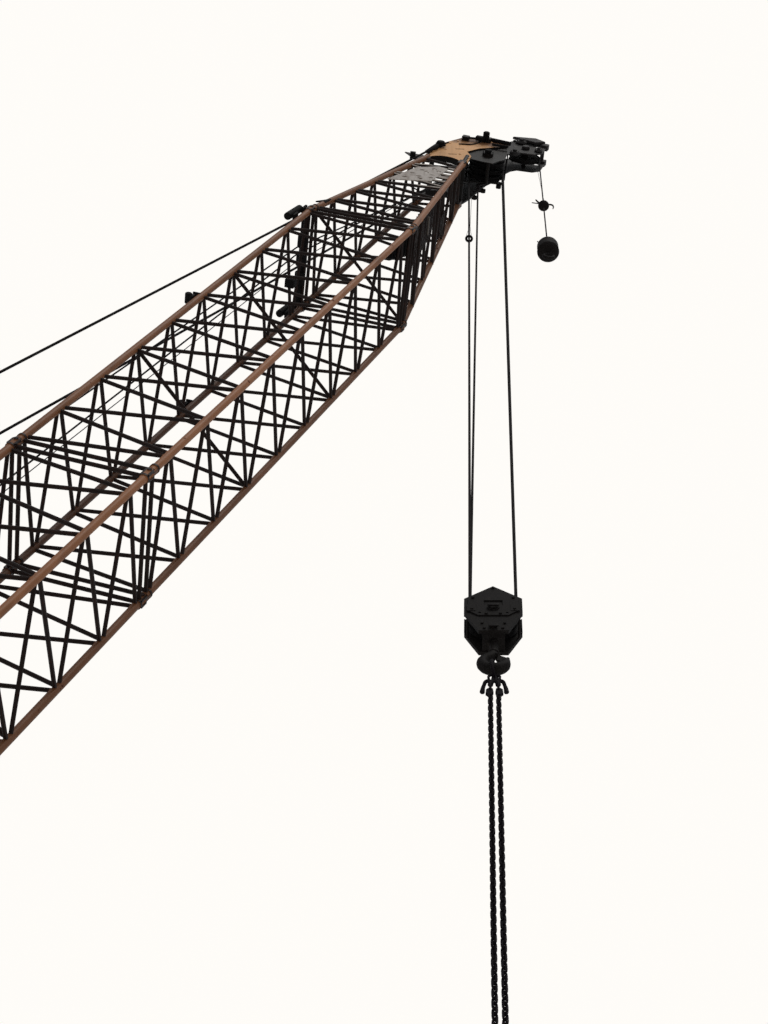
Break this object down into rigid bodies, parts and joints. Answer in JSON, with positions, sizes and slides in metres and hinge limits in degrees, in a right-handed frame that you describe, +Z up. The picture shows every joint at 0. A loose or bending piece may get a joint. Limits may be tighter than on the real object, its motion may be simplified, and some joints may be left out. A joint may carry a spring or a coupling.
{
  "type": "crawler crane with lattice boom",
  "caption": "Crawler crane with a raised lattice boom, auxiliary sheave jib, hook block with chain sling and a ball hook; slews, luffs and swings its hooks.",
  "frame": {"origin": "on the ground under the slewing axis", "axes": "+X forward towards the boom, +Y to the crane's left, +Z up"},
  "size_m": [15.5782, 5.15, 35.304],
  "materials": {
    "shoe_steel": "worn track shoes",
    "frame_paint": "weathered brown paint",
    "worn_steel": "greasy worn steel",
    "cab_paint": "faded ochre paint",
    "window_glass": "clear glass",
    "seat_vinyl": "black vinyl",
    "engine_iron": "grey iron",
    "weight_iron": "painted cast iron",
    "boom_paint": "weathered orange-brown paint",
    "head_paint": "faded ochre paint",
    "sheave_iron": "dark greased iron",
    "rope_steel": "greased wire rope",
    "block_paint": "black greasy paint",
    "chain_steel": "dark alloy chain"
  },
  "bodies": {
    "root": {"track_left": "shoe_steel", "track_right": "shoe_steel", "track_frame_left": "frame_paint", "track_frame_right": "frame_paint", "drive_sprocket_left": "worn_steel", "drive_sprocket_right": "worn_steel", "idler_left": "worn_steel", "idler_right": "worn_steel", "rollers_left": "worn_steel", "rollers_right": "worn_steel", "car_body": "frame_paint", "slew_ring": "worn_steel"},
    "upper": {"deck": "frame_paint", "cab": "cab_paint", "cab_glass": "window_glass", "operator_seat": "seat_vinyl", "engine_house": "cab_paint", "engine": "engine_iron", "tank_house": "cab_paint", "counterweight_base": "weight_iron", "counterweight_lower": "weight_iron", "counterweight_upper": "weight_iron", "gantry": "boom_paint", "gantry_sheaves": "sheave_iron"},
    "main_drum": {"main_winch": "sheave_iron"},
    "auxiliary_drum": {"auxiliary_winch": "sheave_iron"},
    "luffing_drum": {"luffing_winch": "sheave_iron"},
    "door": {"cab_door": "cab_paint"},
    "falls": {"luffing_falls": "rope_steel"},
    "boom": {"boom_foot": "boom_paint", "boom_insert_short": "boom_paint", "boom_insert_lower": "boom_paint", "boom_insert_upper": "boom_paint", "boom_tip": "boom_paint", "boom_head": "head_paint", "auxiliary_jib": "boom_paint"},
    "head_wheels": {"head_sheaves": "sheave_iron"},
    "aux_wheel": {"auxiliary_sheave": "sheave_iron"},
    "stays": {"pendants": "rope_steel", "bridle": "boom_paint", "bridle_falls": "rope_steel"},
    "main_line": {"hoist_falls": "rope_steel", "hook_block": "block_paint"},
    "block_wheels": {"block_sheaves": "sheave_iron"},
    "hook_swivel": {"hook": "block_paint", "sling": "chain_steel"},
    "aux_rope": {"auxiliary_line": "rope_steel", "line_ball": "block_paint"},
    "ball_swivel": {"ball_hook": "block_paint"}
  },
  "joints": [
    {"name": "slew", "type": "hinge", "parent": "root", "child": "upper", "pos_m": [0, 0, 1.25], "axis": [0, 0, 1], "continuous": true},
    {"name": "main_drum_turn", "type": "hinge", "parent": "upper", "child": "main_drum", "pos_m": [-0.25, 0, 2.06], "axis": [0, 1, 0], "continuous": true},
    {"name": "auxiliary_drum_turn", "type": "hinge", "parent": "upper", "child": "auxiliary_drum", "pos_m": [-1.2, 0, 2.06], "axis": [0, 1, 0], "continuous": true},
    {"name": "luffing_drum_turn", "type": "hinge", "parent": "upper", "child": "luffing_drum", "pos_m": [-2.15, 0, 2.06], "axis": [0, 1, 0], "continuous": true},
    {"name": "cab_door_swing", "type": "hinge", "parent": "upper", "child": "door", "pos_m": [0.8, -1.916, 2.3], "axis": [0, 0, -1], "range_deg": [0, 100]},
    {"name": "luff", "type": "hinge", "parent": "upper", "child": "boom", "pos_m": [1.1, 0, 1.88], "axis": [0, -1, 0], "range_deg": [-35.5, 5.5]},
    {"name": "falls_swing", "type": "hinge", "parent": "upper", "child": "falls", "pos_m": [-2.1, 0, 6.73], "axis": [0, -1, 0], "range_deg": [-37.5, 6]},
    {"name": "stays_swing", "type": "hinge", "parent": "boom", "child": "stays", "pos_m": [9.50881, 0, 33.75409], "axis": [0, -1, 0], "range_deg": [-1.8, 0.3]},
    {"name": "main_line_swing", "type": "hinge", "parent": "boom", "child": "main_line", "pos_m": [10.2969, 0, 33.64346], "axis": [0, -1, 0], "range_deg": [-5.6, 35.6]},
    {"name": "aux_line_swing", "type": "hinge", "parent": "boom", "child": "aux_rope", "pos_m": [10.96818, 0, 34.84787], "axis": [0, -1, 0], "range_deg": [-5.6, 35.6]},
    {"name": "head_sheaves_turn", "type": "hinge", "parent": "boom", "child": "head_wheels", "pos_m": [10.2969, 0, 33.64346], "axis": [0, 1, 0], "continuous": true},
    {"name": "aux_sheave_turn", "type": "hinge", "parent": "boom", "child": "aux_wheel", "pos_m": [10.96818, 0, 34.84787], "axis": [0, 1, 0], "continuous": true},
    {"name": "block_sheaves_turn", "type": "hinge", "parent": "main_line", "child": "block_wheels", "pos_m": [10.2969, 0, 18.30346], "axis": [0.1219, 0.9925, 0], "continuous": true},
    {"name": "hook_turn", "type": "hinge", "parent": "main_line", "child": "hook_swivel", "pos_m": [10.2969, 0, 17.94846], "axis": [0, 0, 1], "continuous": true},
    {"name": "ball_hook_turn", "type": "hinge", "parent": "aux_rope", "child": "ball_swivel", "pos_m": [11.21818, 0, 29.92787], "axis": [0, 0, 1], "continuous": true}
  ],
  "couplings": [
    {"joint": "falls_swing", "follows": "luff", "ratio": 1.05},
    {"joint": "stays_swing", "follows": "luff", "ratio": 0.05},
    {"joint": "main_line_swing", "follows": "luff", "ratio": -1},
    {"joint": "aux_line_swing", "follows": "luff", "ratio": -1}
  ]
}
